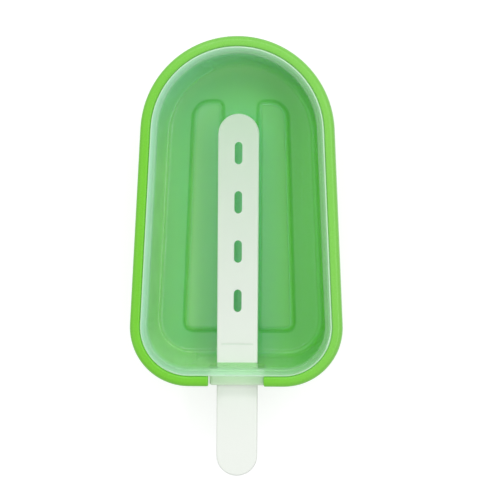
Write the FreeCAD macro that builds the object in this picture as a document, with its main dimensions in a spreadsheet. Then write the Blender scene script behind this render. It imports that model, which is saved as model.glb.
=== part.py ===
import FreeCAD, Part
import math
import os

import Sketcher

# Ice pop mould: a rimmed outer holder, a translucent tray that nests in it, and a flat slotted
# stick that slides through a collar on the tray. +Z is up and +Y points to the pop's round tip.
# The origin is the middle of the holder's flat underside.

# Every size that can be set by itself, in millimetres unless its note says otherwise
driving_sizes = {
    # outline of the rim, seen from above
    "rim_length": 127.5,  # from the round tip to the flat handle end
    "rim_tip_radius": 35.4,  # the round end
    "rim_corner_radius": 21.5,  # the two corners at the handle end
    "side_taper": 2.7,  # degrees that each long side leans in towards the tip
    # holder
    "rim_width": 3.6,  # top of the rim, from its outer face to the tray's lip
    "rim_depth": 5.0,  # height of the rim band
    "rim_outer_rounding": 1.9,
    "rim_inner_rounding": 0.9,
    "rim_under_rounding": 1.0,
    "holder_wall": 2.2,
    "holder_floor": 2.2,
    "foot_rounding": 2.5,
    "holder_floor_rounding": 3.0,
    "notch_rounding": 1.5,  # lower corners of the notch
    "notch_edge_rounding": 0.6,  # edges where the notch cuts the wall and rim
    # tray
    "cavity_depth": 20.6,  # from the lip's top to the inner floor
    "tray_wall": 1.5,
    "tray_floor": 1.5,
    "lip_width": 2.45,  # from the lip's outer edge to the inner wall
    "lip_thickness": 2.0,
    "lip_outer_rounding": 0.7,
    "lip_inner_rounding": 0.8,
    "side_lean": 2.85,  # how far each wall leans in between the lip and the inner floor
    "tip_lean": 4.55,
    "end_lean": 6.45,
    "cavity_floor_rounding": 2.5,
    "tray_foot_rounding": 2.5,
    # raised floor panels
    "panel_rise": 2.0,
    "panel_slope": 1.8,  # run of the leaning edge all round each panel
    "panel_tip_margin": 12.25,  # floor between the panels and the wall at the round tip
    "panel_end_margin": 6.95,  # the same at the handle end
    "panel_taper": 2.05,  # degrees that their long outer sides lean in towards the tip
    "panel_side_share": 0.308,  # floor beside each panel, a share of the floor's half width
    "channel_share": 0.425,  # channel between the panels, a share of the same
    "panel_edge_rounding": 0.7,
    # corners of the hollow under each panel, as shares of its width there
    "hollow_tip_share": 0.62,
    "hollow_end_share": 0.144,
    "hollow_inner_share": 0.082,
    # collar that guides the stick
    "collar_wall": 2.5,  # beside the stick
    "collar_cover": 1.7,  # over and under the stick
    "collar_setback": 0.5,  # its outer face lies this far inside the rim's outer face
    "collar_rounding": 1.2,  # its four long corners
    "collar_edge_rounding": 0.9,  # round its outer face
    # stick
    "stick_length": 131.6,
    "stick_width": 14.8,
    "stick_thickness": 3.0,
    "stick_edge_rounding": 0.6,
    "stick_reach": 28.3,  # from the rim's tip to the stick's tip
    "stick_level": 10.7,  # from the tray's inner floor to the stick's middle
    "slot_width": 2.95,
    "slot_length": 8.15,
    "slot_count": 4,
    "slot_pitch": 17.9,
    "first_slot": 14.3,  # from the stick's tip to the middle of the first slot
    "line_place": 83.8,  # from the stick's tip to the shallow line across it
    "line_length": 11.6,
    "line_width": 0.6,
    "line_depth": 0.2,
    # clearances
    "lip_gap": 0.1,  # beside the lip, inside the rim
    "seat_gap": 0.05,  # under the lip, where the tray rests on the holder
    "lip_drop": 0.3,  # the lip's top lies this far under the rim's top
    "nest_gap": 0.5,  # between the walls of tray and holder
    "floor_gap": 0.3,  # between the floors of tray and holder
    "notch_gap": 0.12,  # beside and under the collar
    "stick_gap": 0.1,  # all round the stick in its collar
}

# Sizes that follow from those above, as expressions in the sheet's own names.
# Tray levels are measured from the tray's underside, holder levels from the holder's.
lip_inset = "(sizes.rim_width + sizes.lip_gap)"
cavity_inset = f"({lip_inset} + sizes.lip_width)"
tray_height = "(sizes.tray_floor + sizes.cavity_depth)"
lip_seat = f"({tray_height} - sizes.lip_thickness)"
tray_base = "(sizes.holder_floor + sizes.floor_gap)"
holder_seat = f"({tray_base} + {lip_seat} - sizes.seat_gap)"
holder_height = f"({tray_base} + {tray_height} + sizes.lip_drop)"
rim_underside = f"({holder_height} - sizes.rim_depth)"
nest_thickness = "(sizes.tray_wall + sizes.nest_gap)"
stick_middle = "(sizes.tray_floor + sizes.stick_level)"
passage_half_width = "(sizes.stick_width / 2 + sizes.stick_gap)"
passage_half_height = "(sizes.stick_thickness / 2 + sizes.stick_gap)"
collar_half_width = f"({passage_half_width} + sizes.collar_wall)"
collar_half_height = f"({passage_half_height} + sizes.collar_cover)"
collar_face = "(sizes.rim_length / 2 - sizes.collar_setback)"
collar_length = f"({cavity_inset} + sizes.end_lean - sizes.collar_setback)"
notch_half_width = f"({collar_half_width} + sizes.notch_gap)"
notch_floor = f"({tray_base} + {stick_middle} - {collar_half_height} - sizes.notch_gap)"
floor_half_width = f"(sizes.rim_tip_radius - {cavity_inset} - sizes.side_lean)"
panel_tip_inset = f"({cavity_inset} + sizes.tip_lean + sizes.panel_tip_margin)"
panel_end_inset = f"({cavity_inset} + sizes.end_lean + sizes.panel_end_margin)"
panel_side_margin = f"(sizes.panel_side_share * {floor_half_width})"
panel_side_inset = f"({cavity_inset} + sizes.side_lean + {panel_side_margin})"
channel_half_width = f"(sizes.channel_share * {floor_half_width} / 2)"
panel_edge_length = "sqrt(sizes.panel_rise ^ 2 + sizes.panel_slope ^ 2)"
hollow_inset = (
    f"(sizes.tray_floor * ({panel_edge_length} - sizes.panel_slope) / sizes.panel_rise)"
)
hollow_top_inset = f"({hollow_inset} + sizes.panel_slope)"

near = 1e-4  # places closer together than this are one place

doc = FreeCAD.newDocument("ice_pop_mold")


def fill_sheet():
    sheet = doc.addObject("Spreadsheet::Sheet", "sizes")
    for row, (alias, size) in enumerate(driving_sizes.items(), start=1):
        sheet.set(f"A{row}", alias)
        sheet.set(f"B{row}", str(size))
        sheet.setAlias(f"B{row}", alias)
    doc.recompute()
    return sheet


sizes = fill_sheet()


def value_of(expression):
    return float(sizes.evalExpression(expression))


def vector(x, y):
    return FreeCAD.Vector(x, y, 0)


def angle_of(direction):
    return math.atan2(direction.y, direction.x)


# Sketches


def new_sketch(body, name, plane_role="XY_Plane", offset="0"):
    # lies on one of the body's own origin planes, moved along that plane's normal
    plane = next(item for item in body.Origin.OriginFeatures if item.Role == plane_role)
    sketch = body.newObject("Sketcher::SketchObject", name)
    sketch.AttachmentSupport = (plane, [""])
    sketch.MapMode = "FlatFace"
    sketch.setExpression("AttachmentOffset.Base.z", offset)
    return sketch


def add_dimension(sketch, name, kind, where, expression):
    number = sketch.addConstraint(Sketcher.Constraint(kind, *where, value_of(expression)))
    sketch.renameConstraint(number, name)
    sketch.setExpression(f"Constraints.{name}", expression)


def add_slope(sketch, name, line, degrees):
    # angle of a line from the sketch's X axis
    angle = math.radians(value_of(degrees))
    number = sketch.addConstraint(Sketcher.Constraint("Angle", line, angle))
    sketch.renameConstraint(number, name)
    sketch.setExpression(f"Constraints.{name}", f"({degrees}) * 1 deg")


def add_arc(sketch, centre, radius, first_angle, last_angle):
    circle = Part.Circle(centre, FreeCAD.Vector(0, 0, 1), radius)
    return sketch.addGeometry(Part.ArcOfCircle(circle, first_angle, last_angle), False)


def add_line(sketch, start, end):
    return sketch.addGeometry(Part.LineSegment(start, end), False)


def join_loop(sketch, pieces, kinds):
    # the end of each piece meets the start of the next, and the last one meets the first
    for piece, following, kind in zip(pieces, pieces[1:] + pieces[:1], kinds):
        sketch.addConstraint(Sketcher.Constraint(kind, piece, 2, following, 1))


def draw_pop_outline(sketch, inset):
    # the rim's outline moved in by (side, tip, end): a round tip, two tapering sides, a flat
    # handle end and a rounded corner at each side of it
    side, tip, end = inset
    tip_radius = f"(sizes.rim_tip_radius - ({side}))"
    corner_radius = f"(sizes.rim_corner_radius - ({side}))"
    tip_centre = f"(sizes.rim_length / 2 - ({tip}) - {tip_radius})"
    handle_end = f"(sizes.rim_length / 2 - ({end}))"

    radius = value_of(tip_radius)
    corner = value_of(corner_radius)
    centre = vector(0, value_of(tip_centre))
    taper = math.radians(value_of("sizes.side_taper"))
    outward = vector(math.cos(taper), math.sin(taper))
    down_side = vector(math.sin(taper), -math.cos(taper))
    corner_y = corner - value_of(handle_end)
    run = (centre.y + (radius - corner) * outward.y - corner_y) / outward.x
    right_centre = centre + outward * (radius - corner) + down_side * run
    side_top = centre + outward * radius
    side_foot = right_centre + outward * corner
    end_point = right_centre - vector(0, corner)

    def mirrored(point):
        return vector(-point.x, point.y)

    straight_down = 1.5 * math.pi
    tip_arc = add_arc(sketch, centre, radius, taper, math.pi - taper)
    left_side = add_line(sketch, mirrored(side_top), mirrored(side_foot))
    left_corner = add_arc(
        sketch, mirrored(right_centre), corner, math.pi - taper, straight_down
    )
    end_line = add_line(sketch, mirrored(end_point), end_point)
    right_corner = add_arc(
        sketch, right_centre, corner, straight_down, 2 * math.pi + taper
    )
    right_side = add_line(sketch, side_foot, side_top)
    loop = [tip_arc, left_side, left_corner, end_line, right_corner, right_side]
    join_loop(sketch, loop, ["Tangent"] * len(loop))
    sketch.addConstraint(Sketcher.Constraint("PointOnObject", tip_arc, 3, -2))
    sketch.addConstraint(Sketcher.Constraint("Symmetric", end_line, 1, end_line, 2, -2))
    sketch.addConstraint(Sketcher.Constraint("Equal", left_corner, right_corner))
    add_dimension(sketch, "tip_radius", "Radius", (tip_arc,), tip_radius)
    add_dimension(sketch, "corner_radius", "Radius", (right_corner,), corner_radius)
    add_dimension(sketch, "tip_centre", "DistanceY", (-1, 1, tip_arc, 3), tip_centre)
    add_dimension(sketch, "handle_end", "DistanceY", (end_line, 2, -1, 1), handle_end)
    add_slope(sketch, "taper", right_side, "90 + sizes.side_taper")


def draw_capsule(sketch, width, low_end, high_end):
    # a straight strip along the sketch's Y axis with fully round ends
    end_radius = f"(({width}) / 2)"
    high_centre = f"(({high_end}) - {end_radius})"
    low_centre = f"(({low_end}) + {end_radius})"

    radius = value_of(end_radius)
    high = vector(0, value_of(high_centre))
    low = vector(0, value_of(low_centre))
    aside = vector(radius, 0)
    high_arc = add_arc(sketch, high, radius, 0, math.pi)
    left = add_line(sketch, high - aside, low - aside)
    low_arc = add_arc(sketch, low, radius, math.pi, 2 * math.pi)
    right = add_line(sketch, low + aside, high + aside)
    loop = [high_arc, left, low_arc, right]
    join_loop(sketch, loop, ["Tangent"] * len(loop))
    for arc in (high_arc, low_arc):
        sketch.addConstraint(Sketcher.Constraint("PointOnObject", arc, 3, -2))
    sketch.addConstraint(Sketcher.Constraint("Equal", high_arc, low_arc))
    add_dimension(sketch, "end_radius", "Radius", (high_arc,), end_radius)
    add_dimension(sketch, "high_centre", "DistanceY", (-1, 1, high_arc, 3), high_centre)
    add_dimension(sketch, "low_centre", "DistanceY", (-1, 1, low_arc, 3), low_centre)


def draw_polygon(sketch, corners):
    # corners run anticlockwise as (x, y, rounding) expressions; a rounding of None is sharp
    points = [vector(value_of(x), value_of(y)) for x, y, rounding in corners]
    count = len(points)
    line_starts, line_ends, arc_centres = [], [], []
    for number, (x, y, rounding) in enumerate(corners):
        point = points[number]
        back = (points[number - 1] - point).normalize()
        ahead = (points[(number + 1) % count] - point).normalize()
        half_angle = back.getAngle(ahead) / 2
        radius = 0.0 if rounding is None else value_of(rounding)
        line_ends.append(point + back * (radius / math.tan(half_angle)))
        line_starts.append(point + ahead * (radius / math.tan(half_angle)))
        middle = (back + ahead).normalize()
        arc_centres.append(point + middle * (radius / math.sin(half_angle)))

    loop, lines, arcs = [], [], {}
    for number, (x, y, rounding) in enumerate(corners):
        if rounding is not None:
            centre = arc_centres[number]
            first_angle = angle_of(line_ends[number] - centre)
            last_angle = angle_of(line_starts[number] - centre)
            radius = value_of(rounding)
            arcs[number] = add_arc(sketch, centre, radius, first_angle, last_angle)
            loop.append(arcs[number])
        line = add_line(sketch, line_starts[number], line_ends[(number + 1) % count])
        lines.append(line)
        loop.append(line)
    kinds = [
        "Coincident" if piece in lines and following in lines else "Tangent"
        for piece, following in zip(loop, loop[1:] + loop[:1])
    ]
    join_loop(sketch, loop, kinds)

    for number, (x, y, rounding) in enumerate(corners):
        mark = sketch.addGeometry(Part.Point(points[number]), True)
        for line in (lines[number - 1], lines[number]):
            sketch.addConstraint(Sketcher.Constraint("PointOnObject", mark, 1, line))
        add_dimension(sketch, f"x_{number}", "DistanceX", (-1, 1, mark, 1), x)
        add_dimension(sketch, f"y_{number}", "DistanceY", (-1, 1, mark, 1), y)
        if number in arcs:
            name = f"rounding_{number}"
            add_dimension(sketch, name, "Radius", (arcs[number],), rounding)


def draw_rectangle(sketch, half_width, low, high, low_rounding=None, high_rounding=None):
    draw_polygon(
        sketch,
        [
            (f"-({half_width})", low, low_rounding),
            (half_width, low, low_rounding),
            (half_width, high, high_rounding),
            (f"-({half_width})", high, high_rounding),
        ],
    )


# Features


def add_loft(body, kind, name, lower, upper):
    feature = body.newObject(kind, name)
    feature.Profile = lower
    feature.Sections = [upper]
    feature.Ruled = True
    doc.recompute()
    return feature


def add_extrusion(body, kind, name, sketch, length, reverse=False):
    feature = body.newObject(kind, name)
    feature.Profile = sketch
    feature.setExpression("Length", length)
    feature.Reversed = reverse
    doc.recompute()
    return feature


def add_fillet(body, name, edges, rounding):
    # rounds edges of the body as it stands
    base = body.Tip
    names = [
        f"Edge{number}"
        for number, edge in enumerate(base.Shape.Edges, start=1)
        if any(edge.isSame(wanted) for wanted in edges)
    ]
    feature = body.newObject("PartDesign::Fillet", name)
    feature.Base = (base, names)
    feature.setExpression("Radius", rounding)
    doc.recompute()
    return feature


def flat_faces(body, axis, place):
    # the flat faces that lie square to an axis at one place along it, the largest first
    wanted = value_of(place)
    found = []
    for face in body.Tip.Shape.Faces:
        low = getattr(face.BoundBox, f"{axis}Min")
        high = getattr(face.BoundBox, f"{axis}Max")
        if isinstance(face.Surface, Part.Plane) and max(wanted - low, high - wanted) < near:
            found.append(face)
    return sorted(found, key=lambda face: face.Area, reverse=True)


def outer_edges(face):
    return face.OuterWire.Edges


def inner_edges(face):
    return [
        edge for wire in face.Wires if not wire.isSame(face.OuterWire) for edge in wire.Edges
    ]


# The walls of tray and holder all follow the tray's inner wall


def wall_inset(level, thickness):
    # inset from the rim's outline, at a height above the tray's underside, of a surface that
    # lies a given thickness outside the tray's inner wall
    fall = f"(({tray_height} - ({level})) / sizes.cavity_depth)"
    leans = ("sizes.side_lean", "sizes.tip_lean", "sizes.end_lean")
    return [f"({cavity_inset} + {lean} * {fall} - ({thickness}))" for lean in leans]


def wall_loft(body, kind, name, low, high, base, thickness):
    # low and high are heights above the body's own underside, base is the tray's underside
    ends = []
    for label, level in (("foot", low), ("top", high)):
        sketch = new_sketch(body, f"{name}_{label}", offset=level)
        draw_pop_outline(sketch, wall_inset(f"({level}) - ({base})", thickness))
        ends.append(sketch)
    return add_loft(body, kind, name, *ends)


def build_holder():
    body = doc.addObject("PartDesign::Body", "holder")
    outside = f"{nest_thickness} + sizes.holder_wall"
    wall_loft(
        body, "PartDesign::AdditiveLoft", "walls", "0", rim_underside, tray_base, outside
    )
    rim_outline = new_sketch(body, "rim_outline", offset=rim_underside)
    draw_pop_outline(rim_outline, ["0", "0", "0"])
    add_extrusion(body, "PartDesign::Pad", "rim", rim_outline, "sizes.rim_depth")

    inside = ("sizes.holder_floor", holder_seat, tray_base, nest_thickness)
    wall_loft(body, "PartDesign::SubtractiveLoft", "inside", *inside)
    recess_outline = new_sketch(body, "lip_recess_outline", offset=holder_height)
    draw_pop_outline(recess_outline, ["sizes.rim_width"] * 3)
    recess_depth = f"{holder_height} - {holder_seat}"
    add_extrusion(
        body, "PartDesign::Pocket", "lip_recess", recess_outline, recess_depth
    )

    top = flat_faces(body, "Z", holder_height)[0]
    add_fillet(body, "rim_outer_edge", outer_edges(top), "sizes.rim_outer_rounding")
    top = flat_faces(body, "Z", holder_height)[0]
    add_fillet(body, "rim_inner_edge", inner_edges(top), "sizes.rim_inner_rounding")
    under = flat_faces(body, "Z", rim_underside)[0]
    add_fillet(body, "rim_lower_edge", outer_edges(under), "sizes.rim_under_rounding")
    foot = flat_faces(body, "Z", "0")[0]
    add_fillet(body, "foot_edge", outer_edges(foot), "sizes.foot_rounding")
    floor = flat_faces(body, "Z", "sizes.holder_floor")[0]
    add_fillet(body, "floor_edge", outer_edges(floor), "sizes.holder_floor_rounding")

    # the notch is open at the top and cuts the wall and rim at the handle end
    notch_face = "sizes.rim_length / 2"
    notch_outline = new_sketch(body, "notch_outline", "XZ_Plane", notch_face)
    notch_top = f"{holder_height} + sizes.rim_depth"
    draw_rectangle(
        notch_outline, notch_half_width, notch_floor, notch_top, "sizes.notch_rounding"
    )
    notch_length = f"{cavity_inset} + sizes.end_lean"
    add_extrusion(body, "PartDesign::Pocket", "notch", notch_outline, notch_length)
    add_fillet(body, "notch_edges", notch_edges(body), "sizes.notch_edge_rounding")
    return body


def notch_edges(body):
    # edges of the notch's two upright faces, but for the smooth seams with its lower corners
    left = flat_faces(body, "X", f"-{notch_half_width}")
    right = flat_faces(body, "X", notch_half_width)
    return [
        edge
        for face in left + right
        for edge in face.Edges
        if edge.BoundBox.ZMax > face.BoundBox.ZMin + near
    ]


def panel_side_x(level_y, inset):
    # place of the panel's long outer side at a level along the tray
    reach = f"(sizes.rim_tip_radius - ({inset})) / cos(sizes.panel_taper)"
    below_tip = f"(sizes.rim_length / 2 - sizes.rim_tip_radius - ({level_y}))"
    return f"({reach} + {below_tip} * tan(sizes.panel_taper))"


def panel_corners(shrink):
    # inner edge, handle end and tip of a panel's outline drawn in by a given amount, with the
    # places of its outer side at those two ends
    inner = f"({channel_half_width} + ({shrink}))"
    end = f"({panel_end_inset} + ({shrink}) - sizes.rim_length / 2)"
    tip = f"(sizes.rim_length / 2 - {panel_tip_inset} - ({shrink}))"
    side_inset = f"{panel_side_inset} + ({shrink})"
    return inner, end, tip, panel_side_x(end, side_inset), panel_side_x(tip, side_inset)


def draw_panel(sketch, shrink):
    # right-hand panel; each corner is rounder than the hollow's by its distance out from there
    hollow = panel_corners(hollow_top_inset)
    end_width = f"({hollow[3]} - {hollow[0]})"
    tip_width = f"({hollow[4]} - {hollow[0]})"
    outward = f"{hollow_top_inset} - ({shrink})"
    inner, end, tip, outer_end, outer_tip = panel_corners(shrink)
    draw_polygon(
        sketch,
        [
            (inner, end, f"sizes.hollow_inner_share * {end_width} + {outward}"),
            (outer_end, end, f"sizes.hollow_end_share * {end_width} + {outward}"),
            (outer_tip, tip, f"sizes.hollow_tip_share * {tip_width} + {outward}"),
            (inner, tip, f"sizes.hollow_inner_share * {tip_width} + {outward}"),
        ],
    )


def panel_loft(body, kind, name, low, high, shrink):
    ends = []
    for label, level, inset in (
        ("foot", low, shrink),
        ("top", high, f"({shrink}) + sizes.panel_slope"),
    ):
        sketch = new_sketch(body, f"{name}_{label}", offset=level)
        draw_panel(sketch, inset)
        ends.append(sketch)
    return add_loft(body, kind, name, *ends)


def build_tray():
    body = doc.addObject("PartDesign::Body", "mold_tray")
    wall_loft(
        body, "PartDesign::AdditiveLoft", "walls", "0", lip_seat, "0", "sizes.tray_wall"
    )
    lip_outline = new_sketch(body, "lip_outline", offset=lip_seat)
    draw_pop_outline(lip_outline, [lip_inset] * 3)
    add_extrusion(body, "PartDesign::Pad", "lip", lip_outline, "sizes.lip_thickness")
    foot = flat_faces(body, "Z", "0")[0]
    add_fillet(body, "foot_edge", outer_edges(foot), "sizes.tray_foot_rounding")

    collar_outline = new_sketch(body, "collar_outline", "XZ_Plane", collar_face)
    draw_rectangle(
        collar_outline,
        collar_half_width,
        f"{stick_middle} - {collar_half_height}",
        f"{stick_middle} + {collar_half_height}",
        "sizes.collar_rounding",
        "sizes.collar_rounding",
    )
    add_extrusion(
        body, "PartDesign::Pad", "collar", collar_outline, collar_length, reverse=True
    )

    cavity = ("sizes.tray_floor", tray_height, "0", "0")
    wall_loft(body, "PartDesign::SubtractiveLoft", "cavity", *cavity)
    floor = flat_faces(body, "Z", "sizes.tray_floor")[0]
    add_fillet(body, "floor_edge", outer_edges(floor), "sizes.cavity_floor_rounding")
    top = flat_faces(body, "Z", tray_height)[0]
    add_fillet(body, "lip_outer_edge", outer_edges(top), "sizes.lip_outer_rounding")
    top = flat_faces(body, "Z", tray_height)[0]
    add_fillet(body, "lip_inner_edge", inner_edges(top), "sizes.lip_inner_rounding")

    add_panels(body)

    passage_outline = new_sketch(body, "passage_outline", "XZ_Plane", collar_face)
    draw_rectangle(
        passage_outline,
        passage_half_width,
        f"{stick_middle} - {passage_half_height}",
        f"{stick_middle} + {passage_half_height}",
    )
    add_extrusion(body, "PartDesign::Pocket", "passage", passage_outline, collar_length)
    mouth = flat_faces(body, "Y", f"-{collar_face}")[0]
    add_fillet(body, "collar_edges", outer_edges(mouth), "sizes.collar_edge_rounding")
    body.setExpression("Placement.Base.z", tray_base)
    return body


def add_panels(body):
    # each raised panel is hollow underneath, so that the floor keeps its thickness all over
    panel = panel_loft(
        body,
        "PartDesign::AdditiveLoft",
        "panel",
        "sizes.tray_floor",
        "sizes.tray_floor + sizes.panel_rise",
        "0",
    )
    hollow = panel_loft(
        body,
        "PartDesign::SubtractiveLoft",
        "panel_hollow",
        "0",
        "sizes.panel_rise",
        hollow_inset,
    )
    plane = next(item for item in body.Origin.OriginFeatures if item.Role == "YZ_Plane")
    other = body.newObject("PartDesign::Mirrored", "other_panel")
    other.Originals = [panel, hollow]
    other.MirrorPlane = (plane, [""])
    body.Tip = other
    doc.recompute()
    tops = flat_faces(body, "Z", "sizes.tray_floor + sizes.panel_rise")
    edges = [edge for face in tops for edge in outer_edges(face)]
    add_fillet(body, "panel_edges", edges, "sizes.panel_edge_rounding")


def build_stick():
    # built with its tip at the origin and its underside at height zero
    body = doc.addObject("PartDesign::Body", "stick")
    outline = new_sketch(body, "stick_outline")
    draw_capsule(outline, "sizes.stick_width", "-sizes.stick_length", "0")
    add_extrusion(body, "PartDesign::Pad", "strip", outline, "sizes.stick_thickness")
    edges = [
        edge
        for level in ("0", "sizes.stick_thickness")
        for edge in outer_edges(flat_faces(body, "Z", level)[0])
    ]
    add_fillet(body, "strip_edges", edges, "sizes.stick_edge_rounding")

    slot_outline = new_sketch(body, "slot_outline", offset="sizes.stick_thickness")
    half_slot = "sizes.slot_length / 2"
    draw_capsule(
        slot_outline,
        "sizes.slot_width",
        f"-sizes.first_slot - {half_slot}",
        f"-sizes.first_slot + {half_slot}",
    )
    slot = add_extrusion(
        body, "PartDesign::Pocket", "slot", slot_outline, "sizes.stick_thickness"
    )
    row = body.newObject("PartDesign::LinearPattern", "slot_row")
    row.Originals = [slot]
    row.Direction = (slot_outline, ["V_Axis"])
    row.Reversed = True
    row.setExpression("Length", "sizes.slot_pitch * (sizes.slot_count - 1)")
    row.setExpression("Occurrences", "sizes.slot_count")
    body.Tip = row
    doc.recompute()

    line_outline = new_sketch(body, "line_outline", offset="sizes.stick_thickness")
    half_line = "sizes.line_width / 2"
    draw_rectangle(
        line_outline,
        "sizes.line_length / 2",
        f"-sizes.line_place - {half_line}",
        f"-sizes.line_place + {half_line}",
    )
    add_extrusion(body, "PartDesign::Pocket", "line", line_outline, "sizes.line_depth")
    body.setExpression("Placement.Base.y", "sizes.rim_length / 2 - sizes.stick_reach")
    stick_underside = f"{tray_base} + {stick_middle} - sizes.stick_thickness / 2"
    body.setExpression("Placement.Base.z", stick_underside)
    return body


sub_parts = [build_holder(), build_tray(), build_stick()]
doc.recompute()

for item in doc.Objects:
    if {"Invalid", "Error"} & set(item.State):
        raise RuntimeError(f"{item.Label} failed: {item.State}")

for body in sub_parts:
    shape = body.Shape
    if shape.isNull() or not shape.isValid() or len(shape.Solids) != 1:
        raise RuntimeError(f"{body.Label} is not one valid solid")

os.makedirs("parts", exist_ok=True)
for body in sub_parts:
    body.Shape.exportStep(f"parts/{body.Label}.step")
    print(body.Label, round(body.Shape.Volume), "cubic millimetres")
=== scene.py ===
import math
from types import SimpleNamespace

import bpy
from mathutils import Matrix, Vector

# Ice pop mould seen from above: lime holder, frosted tray, white slotted stick.
# Metres, +Z up, +Y towards the pop's round tip.

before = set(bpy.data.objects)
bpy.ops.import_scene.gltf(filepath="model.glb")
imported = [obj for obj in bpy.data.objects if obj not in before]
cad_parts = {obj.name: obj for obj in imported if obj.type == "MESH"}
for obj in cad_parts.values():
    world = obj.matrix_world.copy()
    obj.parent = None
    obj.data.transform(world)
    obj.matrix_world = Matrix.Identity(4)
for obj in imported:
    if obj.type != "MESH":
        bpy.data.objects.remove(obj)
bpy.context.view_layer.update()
mm = 0.001
noiseSpan = (0.3, 0.7)  # nearly all of a noise pattern lies between these


def fromPicture(red, green, blue):
    # an 8-bit screen colour as the linear colour that the shaders take
    def linear(level):
        level = level / 255
        return level / 12.92 if level <= 0.04045 else ((level + 0.055) / 1.055) ** 2.4
    return (linear(red), linear(green), linear(blue), 1.0)


floorLook = {
    "halfSize": 1.6,
    "colour": (176, 178, 177),
    "whitening": 0.72,  # added where the floor is seen, so that it shows white but lights no more
}

skyLevel = 0.69  # how strongly the sky lights the object: where it is seen it is white

# power in watts, side lengths across and along, place
lampLook = {
    "fillLamp": {"power": 1.3, "size": (1.2, 0.9), "place": (-0.72, 0.1, 0.8)},
    "topLamp": {"power": 2.4, "size": (1.1, 0.18), "place": (0.0, 0.6, 0.79)},
    "sideLamp": {"power": 1.9, "size": (0.9, 0.18), "place": (0.61, 0.05, 0.79)},
}

cameraLook = {
    "aim": (5.0 * mm, -13.83 * mm, 25 * mm),
    "lean": 3.6,  # degrees that the camera leans over to the right
    "roll": 0.35,  # degrees that the picture is turned
    "width": 181.8 * mm,  # width that the picture takes in
    "distance": 0.6,
}


class NodeTree:
    # short ways to add and join the shader nodes of a material or of the world
    def __init__(self, owner, outputKind="ShaderNodeOutputMaterial"):
        owner.use_nodes = True
        self.owner = owner
        self.tree = owner.node_tree
        self.tree.nodes.clear()
        self.output = self.add(outputKind)

    def add(self, kind, **settings):
        node = self.tree.nodes.new(kind)
        for name, value in settings.items():
            setattr(node, name, value)
        return node

    def join(self, start, end):
        self.tree.links.new(start, end)

    def give(self, value, socket):
        # a node's output, a number, or a colour as on a screen
        if isinstance(value, bpy.types.NodeSocket):
            self.join(value, socket)
        else:
            socket.default_value = fromPicture(*value) if isinstance(value, tuple) else value

    def maths(self, operation, *values):
        node = self.add("ShaderNodeMath", operation=operation)
        for value, socket in zip(values, node.inputs):
            self.give(value, socket)
        return node.outputs[0]

    def product(self, first, *others):
        for other in others:
            first = self.maths("MULTIPLY", first, other)
        return first

    def remainder(self, share):
        return self.maths("SUBTRACT", 1, share)

    def over(self, value, limit):
        return self.maths("GREATER_THAN", value, limit)

    def under(self, value, limit):
        return self.maths("LESS_THAN", value, limit)

    def remap(self, value, old, new):
        node = self.add("ShaderNodeMapRange")
        for name, number in zip(("From Min", "From Max", "To Min", "To Max"), (*old, *new)):
            node.inputs[name].default_value = number
        self.join(value, node.inputs["Value"])
        return node.outputs[0]

    def blend(self, kind, share, low, high):
        node = self.add("ShaderNodeMix", data_type=kind)
        first, second = (6, 7) if kind == "RGBA" else (2, 3)
        self.give(share, node.inputs[0])
        self.give(low, node.inputs[first])
        self.give(high, node.inputs[second])
        return node.outputs[2 if kind == "RGBA" else 0]

    def layers(self, kind, base, *layers):
        # each layer is a share and what it puts over the ones before it
        for share, value in layers:
            base = self.blend(kind, share, base, value)
        return base

    def mixShaders(self, share, first, second):
        node = self.add("ShaderNodeMixShader")
        for value, socket in zip((share, first, second), node.inputs):
            self.give(value.outputs[0] if isinstance(value, bpy.types.Node) else value, socket)
        return node

    def onPiece(self, kind):
        # "Object" is the place on the piece itself, "Normal" the way its surface faces
        return self.add("ShaderNodeTexCoord").outputs[kind]

    def axesOf(self, vector):
        split = self.add("ShaderNodeSeparateXYZ")
        self.join(vector, split.inputs[0])
        return split.outputs

    def noise(self, size, detail=2):
        # cloudy pattern whose lumps are about size millimetres across
        node = self.add("ShaderNodeTexNoise")
        node.inputs["Scale"].default_value = 1 / (size * mm)
        node.inputs["Detail"].default_value = detail
        self.join(self.onPiece("Object"), node.inputs["Vector"])
        return node.outputs["Fac"]

    def bump(self, height, depth, under=None):
        node = self.add("ShaderNodeBump")
        node.inputs["Distance"].default_value = depth
        self.join(height, node.inputs["Height"])
        if under is not None:
            self.join(under, node.inputs["Normal"])
        return node.outputs[0]

    def seenDirectly(self):
        # 1 where the camera looks straight at it or sees it in a gloss, 0 where it only lights
        path = self.add("ShaderNodeLightPath")
        seen = self.maths("MAXIMUM", path.outputs["Is Camera Ray"], path.outputs["Is Glossy Ray"])
        return self.maths("MAXIMUM", seen, path.outputs["Is Transmission Ray"])


def makeFloor():
    half = floorLook["halfSize"]
    mesh = bpy.data.meshes.new("floor")
    corners = [(-half, -half, 0), (half, -half, 0), (half, half, 0), (-half, half, 0)]
    mesh.from_pydata(corners, [], [(0, 1, 2, 3)])
    floor = bpy.data.objects.new("floor", mesh)
    bpy.context.scene.collection.objects.link(floor)
    nodes = NodeTree(bpy.data.materials.new("paleFloor"))
    paper = nodes.add("ShaderNodeBsdfDiffuse")
    nodes.give(floorLook["colour"], paper.inputs["Color"])
    glow = nodes.add("ShaderNodeEmission")
    nodes.join(nodes.product(nodes.seenDirectly(), floorLook["whitening"]), glow.inputs["Strength"])
    both = nodes.add("ShaderNodeAddShader")
    nodes.join(paper.outputs[0], both.inputs[0])
    nodes.join(glow.outputs[0], both.inputs[1])
    nodes.join(both.outputs[0], nodes.output.inputs["Surface"])
    mesh.materials.append(nodes.owner)


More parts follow.
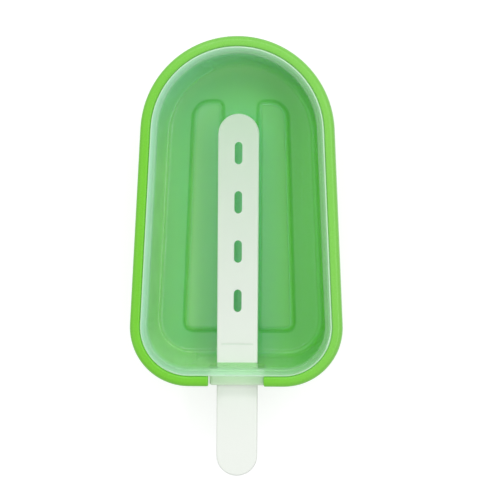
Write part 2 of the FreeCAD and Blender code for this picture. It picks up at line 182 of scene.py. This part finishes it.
def makeLamp(name, look):
    light = bpy.data.lights.new(name, "AREA")
    light.shape = "RECTANGLE"
    light.size, light.size_y = look["size"]
    light.energy = look["power"]
    lamp = bpy.data.objects.new(name, light)
    lamp.location = look["place"]
    towards = Vector(cameraLook["aim"]) - Vector(look["place"])
    lamp.rotation_euler = towards.to_track_quat("-Z", "Y").to_euler()
    bpy.context.scene.collection.objects.link(lamp)


def makeLight():
    world = bpy.data.worlds.new("softSky")
    bpy.context.scene.world = world
    nodes = NodeTree(world, "ShaderNodeOutputWorld")
    sky = nodes.add("ShaderNodeBackground")
    sky.inputs["Color"].default_value = (1, 1, 1, 1)
    level = nodes.remap(nodes.seenDirectly(), (0, 1), (skyLevel, 1))
    nodes.join(level, sky.inputs["Strength"])
    nodes.join(sky.outputs[0], nodes.output.inputs["Surface"])
    for name, look in lampLook.items():
        makeLamp(name, look)


def makeCamera():
    lens = bpy.data.cameras.new("camera")
    lens.type = "ORTHO"
    lens.ortho_scale = cameraLook["width"]
    camera = bpy.data.objects.new("camera", lens)
    lean = math.radians(cameraLook["lean"])
    back = Vector((math.sin(lean), 0, math.cos(lean)))
    camera.location = Vector(cameraLook["aim"]) + back * cameraLook["distance"]
    camera.rotation_euler = (0, lean, math.radians(cameraLook["roll"]))
    bpy.context.scene.collection.objects.link(camera)
    bpy.context.scene.camera = camera


makeFloor()
makeLight()
makeCamera()
bpy.context.scene.view_settings.view_transform = "Standard"
print("floor, lamps and camera set")


holderLook = {
    "colour": (116, 206, 45), "shade": (110, 200, 39),
    "shine": 0.4, "roughness": (0.24, 0.33),
    "grain": 0.35, "grainDepth": 0.012 * mm, "ripple": 14, "rippleDepth": 0.03 * mm,
    # painted sheen: the rim's colour turns whiter towards the far right
    "rimSheenColour": (126, 206, 79), "rimLevel": 19.9 * mm,
    "rimSheenPlace": (-25 * mm, 20 * mm), "rimSheenSlant": 0.5,  # going far counts half as much as going right
}

stickLook = {
    "colour": (245, 249, 243), "shade": (241, 246, 239),
    "shine": 0.5, "roughness": (0.34, 0.44),
    "grain": 0.4, "grainDepth": 0.012 * mm, "ripple": 18, "rippleDepth": 0.02 * mm,
    "onward": (0.06, 0.62),  # share of the light that goes on through, at the handle and at the tip
    "onwardPlace": (-66 * mm, 36 * mm),
    # painted shade in the shallow line across the stick
    "mark": {"X": (-6 * mm, 6 * mm), "Y": (-49.5 * mm, -47 * mm)},
    "markDepth": 16.15 * mm, "markShadeColour": (232, 242, 231),
}


def mouldedPlastic(name, look):
    # smooth moulded plastic: fine grain, slow ripple, small changes of colour and gloss
    nodes = NodeTree(bpy.data.materials.new(name))
    axes = nodes.axesOf(nodes.onPiece("Object"))
    ripple = nodes.noise(look["ripple"], detail=3)
    grain = nodes.noise(look["grain"])

    colour = nodes.blend("RGBA", ripple, look["shade"], look["colour"])
    if "rimSheenColour" in look:
        # painted sheen: the rim grows a little whiter towards the far right
        farRight = nodes.maths("ADD", axes["X"], nodes.product(axes["Y"], look["rimSheenSlant"]))
        paintedSheen = nodes.product(nodes.remap(farRight, look["rimSheenPlace"], (0, 1)),
                             nodes.over(axes["Z"], look["rimLevel"]))
        colour = nodes.blend("RGBA", paintedSheen, colour, look["rimSheenColour"])
    if "mark" in look:
        # painted shade darkens the shallow line across the stick
        inShadedMark = nodes.under(axes["Z"], look["markDepth"])
        for axis, (low, high) in look["mark"].items():
            inShadedMark = nodes.product(inShadedMark, nodes.over(axes[axis], low), nodes.under(axes[axis], high))
        colour = nodes.blend("RGBA", inShadedMark, colour, look["markShadeColour"])

    plastic = nodes.add("ShaderNodeBsdfPrincipled")
    plastic.inputs["Specular IOR Level"].default_value = look["shine"]
    nodes.join(colour, plastic.inputs["Base Color"])
    nodes.join(nodes.remap(grain, noiseSpan, look["roughness"]), plastic.inputs["Roughness"])
    skin = nodes.bump(grain, look["grainDepth"], under=nodes.bump(ripple, look["rippleDepth"]))
    nodes.join(skin, plastic.inputs["Normal"])
    surface = plastic
    if "onward" in look:
        # thin white plastic lets some light through from what lies behind it
        through = nodes.add("ShaderNodeBsdfTranslucent")
        nodes.join(colour, through.inputs["Color"])
        nodes.join(skin, through.inputs["Normal"])
        share = nodes.remap(axes["Y"], look["onwardPlace"], look["onward"])
        surface = nodes.mixShaders(share, plastic, through)
    nodes.join(surface.outputs[0], nodes.output.inputs["Surface"])
    return nodes.owner


trayLook = {
    # colour of the light that goes straight through
    # painted shade: towards the right less red goes through, for a deeper green
    "tint": (252, 253, 252), "rightShadeTint": (240, 254, 251),
    # painted shade: the panels' leaning sides let less light through
    "sideShadeTint": (226, 244, 240), "overStickTint": (228, 246, 225),
    # colour of the haze
    # painted shade: the middle haze is bluer, where the stick shades the floor and towards the tip
    "haze": (200, 254, 194), "floorHaze": (160, 248, 226), "middleShadeHaze": (166, 251, 246),
    # painted highlight: a near-white haze on the lip's rounded edges
    # painted light: the lip's haze is bluer on the left; painted shade: greener on the right
    "leftLipLightHaze": (198, 247, 224), "rightLipShadeHaze": (204, 246, 204), "lipEdgeHaze": (228, 253, 233),
    "collarHaze": (238, 255, 232),
    # share of the light that the haze scatters: a pair goes from the lip's inside to its outside
    # painted shade: little haze on the panels' leaning sides; painted highlight: more along their top
    # edges
    "wallShare": 0.15, "middleShadeShare": 0.17, "panelSideShadeShare": 0.03, "crestHighlightShare": 0.2,
    # painted light: the lip has more haze on the left, so it shows lighter there than on the right
    "leftLipLightShare": (0.34, 0.8), "rightLipShadeShare": (0.13, 0.46), "lipEdgeShare": 0.92,
    "collarShare": 0.84,
    "cloudSpan": (0.9, 1.1),  # times the walls' share, from the thinnest of its clouds to the thickest
    # times the walls' share, on upright walls, on the floor and on the tops of its panels: painted light
    # makes the upright walls and panel tops lighter
    "uprightLightGain": 1.8, "floorGain": 0.8, "topLightGain": 2.0,
    "innerHighlight": 0.1,  # painted highlight: how bright the lip's inner edge is against its outer edge
    "paintedLightFade": (-22 * mm, 30 * mm, 0.1),  # painted light: the haze thins out from left to right, down to this part, so the left shows lighter
    "back": 0.8,  # part of the haze that sends light back, the rest passes it on
    "shading": 0.3,  # part of the haze that keeps light from what lies behind
    "slant": 1.8,  # how much longer than straight through a slanting path counts at most
    "mirror": (0.04, 0.5),  # share of the light that the surface mirrors, head on and edge on
    "roughness": (0.12, 0.17),
    "grain": 0.5, "grainDepth": 0.003 * mm, "cloud": 16,
}

# where the tray's parts are, and how far up or down their surfaces face (1 is straight up)
trayPlace = {
    "middle": (3 * mm, 17 * mm),  # painted shade: distances from the middle line where its bluer haze starts to thin out and ends
    "middleEnd": (28 * mm, 42 * mm, 0.1),  # beyond the stick it fades too, down to this part
    "tip": (15 * mm, 48 * mm, 0.45),  # painted shade: here the haze turns bluer towards the tip, up to this part
    # where the painted shade on the right starts and where it is full
    "right": (2 * mm, 26 * mm),
    "floorTop": 6.5 * mm,
    "flat": (0.8, 1), "upright": (0.2, 0.9), "underside": -0.01,
    "collar": (-59.6 * mm, -60.2 * mm),
    "collarEnd": -57.6 * mm, "collarSide": 10.8 * mm, "collarTop": 18.3 * mm,
    "overStick": (-53.5 * mm, -54.5 * mm), "overStickSide": 7.6 * mm,
    "lip": (20.5 * mm, 24.1 * mm), "lipUnderside": 22.6 * mm,
    "edge": (0.998, 0.9), "edgeSides": (-1 * mm, 1 * mm),
}

# where the raised floor panels are: inside a pill shape that stays clear of the floor's rounding
panelPlace = {
    "halfWidth": 21.8 * mm, "tipCentre": 28.4 * mm, "end": -46 * mm,
    "foot": 3.95 * mm, "topStart": 5.7 * mm, "topEnd": 6.1 * mm, "crest": (4.8 * mm, 5.8 * mm),
    "level": 0.995,
}

# the lip's outer outline: a round tip, two long sides that lean in, two corners and a flat end
lipPlace = {
    "tipCentre": 28.35 * mm, "tipRadius": 31.7 * mm, "taper": 2.7,
    "end": -60.05 * mm, "corner": 17.8 * mm, "width": 2.45 * mm, "halfSpan": 34 * mm,
}


def panelParts(nodes, axes, facing):
    # 1 on the floor panels, 0 elsewhere: their leaning sides and rounded edges, then their tops
    past = nodes.maths("MAXIMUM", nodes.maths("SUBTRACT", axes["Y"], panelPlace["tipCentre"]), 0)
    spread = nodes.maths("ADD", nodes.maths("POWER", axes["X"], 2), nodes.maths("POWER", past, 2))
    panel = nodes.product(nodes.under(spread, panelPlace["halfWidth"] ** 2),
                          nodes.over(axes["Y"], panelPlace["end"]),
                          nodes.over(axes["Z"], panelPlace["foot"]),
                          nodes.under(axes["Z"], panelPlace["topEnd"]))
    level = nodes.over(facing["Z"], panelPlace["level"])
    sides = nodes.product(panel, nodes.remainder(level))
    tops = nodes.product(panel, level, nodes.over(axes["Z"], panelPlace["topStart"]))
    return sides, tops


def fromLipEdge(nodes, axes):
    # how far inside the lip's outer outline a place lies
    def length(first, second):
        squares = [nodes.maths("POWER", nodes.maths("MAXIMUM", side, 0), 2) for side in (first, second)]
        return nodes.maths("SQRT", nodes.maths("ADD", *squares))

    # from the tip's centre: square to the leaning side, and along it
    sine, cosine = math.sin(math.radians(lipPlace["taper"])), math.cos(math.radians(lipPlace["taper"]))
    aside = nodes.maths("ABSOLUTE", axes["X"])
    beyond = nodes.maths("SUBTRACT", axes["Y"], lipPlace["tipCentre"])
    across = nodes.maths("ADD", nodes.product(aside, cosine), nodes.product(beyond, sine))
    along = nodes.maths("SUBTRACT", nodes.product(beyond, cosine), nodes.product(aside, sine))

    pastSide = nodes.maths("SUBTRACT", length(across, along), lipPlace["tipRadius"])
    pastEnd = nodes.maths("SUBTRACT", lipPlace["end"], axes["Y"])
    nearCorner = [nodes.maths("ADD", past, lipPlace["corner"]) for past in (pastSide, pastEnd)]
    inward = nodes.maths("MINIMUM", nodes.maths("MAXIMUM", *nearCorner), 0)
    fromCorner = nodes.maths("ADD", length(*nearCorner), inward)
    return nodes.maths("SUBTRACT", lipPlace["corner"], fromCorner)


def trayParts(nodes, axes, facing, look):
    # for each part of the tray 1 where a place is on it, 0 where it isn't, softly between
    aside = nodes.maths("ABSOLUTE", axes["X"])
    flatness = nodes.maths("ABSOLUTE", facing["Z"])
    on = SimpleNamespace()

    on.upright = nodes.remainder(nodes.remap(flatness, trayPlace["upright"], (0, 1)))
    on.panelSides, on.panelTops = panelParts(nodes, axes, facing)
    # where the painted highlight along the panels' top edges lies
    on.crests = nodes.remap(axes["Z"], panelPlace["crest"], (0, 1))
    atFloor = nodes.under(axes["Z"], trayPlace["floorTop"])
    on.flat = nodes.product(atFloor, nodes.remap(flatness, trayPlace["flat"], (0, 1)))
    # painted shade: a bluer haze along the middle, where the stick shades the floor, and towards the tip
    start, end, least = trayPlace["middleEnd"]
    on.middle = nodes.product(nodes.remap(aside, trayPlace["middle"], (1, 0)), atFloor,
                              nodes.remap(axes["Y"], (start, end), (1, least)))
    start, end, most = trayPlace["tip"]
    on.tip = nodes.remap(axes["Y"], (start, end), (0, most))

    inBox = nodes.product(nodes.under(axes["Y"], trayPlace["collarEnd"]),
                          nodes.under(aside, trayPlace["collarSide"]),
                          nodes.under(axes["Z"], trayPlace["collarTop"]))
    on.collar = nodes.maths("MAXIMUM", inBox, nodes.remap(axes["Y"], trayPlace["collar"], (0, 1)))
    on.overStick = nodes.product(nodes.under(aside, trayPlace["overStickSide"]),
                                 nodes.remap(axes["Y"], trayPlace["overStick"], (0, 1)),
                                 nodes.under(axes["Z"], trayPlace["lipUnderside"]),
                                 nodes.remainder(on.collar))

    on.lip = nodes.remap(axes["Z"], trayPlace["lip"], (0, 1))
    on.lipOutside = nodes.remap(fromLipEdge(nodes, axes), (lipPlace["width"], 0), (0, 1))
    halfSpan = lipPlace["halfSpan"]
    # painted light and shade: the lip goes from lighter on the left to darker on the right
    on.lipRight = nodes.remap(axes["X"], (-halfSpan, halfSpan), (0, 1))
    # painted highlight along the lip's rounded edges, strongest on the outer one
    outward = nodes.maths("ADD", nodes.product(axes["X"], facing["X"]),
                          nodes.product(axes["Y"], facing["Y"]))
    on.lipEdge = nodes.product(on.lip, nodes.remap(facing["Z"], trayPlace["edge"], (0, 1)),
                               nodes.remap(outward, trayPlace["edgeSides"], (look["innerHighlight"], 1)))
    return on


def hazeShare(nodes, axes, on, look):
    thin, thick = look["cloudSpan"]
    # painted light: more haze on the left, less on the right
    left, right, least = look["paintedLightFade"]
    # painted light: more haze on the panel tops and upright walls, so that they show lighter
    gain = nodes.blend("FLOAT", on.panelTops, look["floorGain"], look["topLightGain"])
    clouds = (look["wallShare"] * thin, look["wallShare"] * thick)
    walls = nodes.product(nodes.remap(nodes.noise(look["cloud"]), noiseSpan, clouds),
                          nodes.remap(on.upright, (0, 1), (1, look["uprightLightGain"])),
                          nodes.remap(axes["X"], (left, right), (1, least)),
                          nodes.blend("FLOAT", on.flat, 1, gain))
    # painted highlight along the panels' top edges, painted shade lower on their leaning sides
    sides = nodes.blend("FLOAT", on.crests, look["panelSideShadeShare"], look["crestHighlightShare"])
    lip = nodes.blend("FLOAT", on.lipRight, nodes.remap(on.lipOutside, (0, 1), look["leftLipLightShare"]),
                      nodes.remap(on.lipOutside, (0, 1), look["rightLipShadeShare"]))
    return nodes.layers("FLOAT", walls,
                        # painted shade: a share of haze of its own along the middle, under the stick
                        (on.middle, look["middleShadeShare"]),
                        (on.panelSides, sides),
                        (on.collar, look["collarShare"]),
                        (on.lip, lip),
                        (on.lipEdge, look["lipEdgeShare"]))


def hazeColour(nodes, on, look):
    bareFloor = nodes.product(on.flat, nodes.remainder(on.panelTops))
    return nodes.layers("RGBA", look["haze"],
                        (bareFloor, look["floorHaze"]),
                        (nodes.maths("MAXIMUM", on.middle, on.tip), look["middleShadeHaze"]),
                        (on.collar, look["collarHaze"]),
                        (on.lip, nodes.blend("RGBA", on.lipRight, look["leftLipLightHaze"], look["rightLipShadeHaze"])),
                        (on.lipEdge, look["lipEdgeHaze"]))


def straightTint(nodes, axes, on, look):
    return nodes.layers("RGBA", look["tint"],
                        # painted shade: a deeper green towards the right
                        (nodes.remap(axes["X"], trayPlace["right"], (0, 1)), look["rightShadeTint"]),
                        # painted shade on the lower part of the panels' leaning sides
                        (nodes.product(on.panelSides, nodes.remainder(on.crests)), look["sideShadeTint"]),
                        (on.overStick, look["overStickTint"]))


def frostedPlastic(name, look):
    # thin frosted plastic: a see-through wall whose haze scatters some of the light. There is
    # little of it in the walls, more in the thick lip with a painted highlight on its outer edge,
    # and most in the collar
    nodes = NodeTree(bpy.data.materials.new(name))
    axes = nodes.axesOf(nodes.onPiece("Object"))
    facing = nodes.axesOf(nodes.onPiece("Normal"))
    on = trayParts(nodes, axes, facing, look)

    # light that crosses a wall at a slant meets more of the haze
    weight = nodes.add("ShaderNodeLayerWeight")
    weight.inputs["Blend"].default_value = 0.5  # plain, neither sharper nor softer
    slope = weight.outputs["Facing"]
    straight = nodes.maths("MAXIMUM", nodes.remainder(slope), 1 / look["slant"])
    passed = nodes.maths("POWER", nodes.remainder(hazeShare(nodes, axes, on, look)),
                         nodes.maths("DIVIDE", 1, straight))
    haze = nodes.remainder(passed)
    # the gloss grows steeply towards the edges, and the undersides have none
    mirror = nodes.product(nodes.remap(nodes.maths("POWER", slope, 5), (0, 1), look["mirror"]),
                           nodes.over(facing["Z"], trayPlace["underside"]))
    # frosting spreads light far more than it stops it: outside the collar it hardly casts a shadow
    inShadow = nodes.add("ShaderNodeLightPath").outputs["Is Shadow Ray"]
    shading = nodes.blend("FLOAT", on.collar, look["shading"], 1)
    haze = nodes.product(haze, nodes.blend("FLOAT", inShadow, 1, shading))
    mirror = nodes.product(mirror, nodes.remainder(inShadow))

    clear = nodes.add("ShaderNodeBsdfTransparent")
    nodes.join(straightTint(nodes, axes, on, look), clear.inputs["Color"])
    back = nodes.add("ShaderNodeBsdfDiffuse")
    onward = nodes.add("ShaderNodeBsdfTranslucent")
    colour = hazeColour(nodes, on, look)
    for scatter in (back, onward):
        nodes.join(colour, scatter.inputs["Color"])
    scattered = nodes.mixShaders(look["back"], onward, back)
    body = nodes.mixShaders(haze, clear, scattered)

    grain = nodes.noise(look["grain"])
    gloss = nodes.add("ShaderNodeBsdfGlossy")
    nodes.join(nodes.remap(grain, noiseSpan, look["roughness"]), gloss.inputs["Roughness"])
    nodes.join(nodes.bump(grain, look["grainDepth"]), gloss.inputs["Normal"])
    whole = nodes.mixShaders(mirror, body, gloss)
    nodes.join(whole.outputs[0], nodes.output.inputs["Surface"])
    return nodes.owner


def finish(node, material):
    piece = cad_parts[node]
    for slot in piece.material_slots:
        slot.material = material
    if not piece.material_slots:
        piece.data.materials.append(material)


finish("holder", mouldedPlastic("limePlastic", holderLook))
finish("mold_tray", frostedPlastic("frostedPlastic", trayLook))
finish("stick", mouldedPlastic("whitePlastic", stickLook))
print("plastics set")
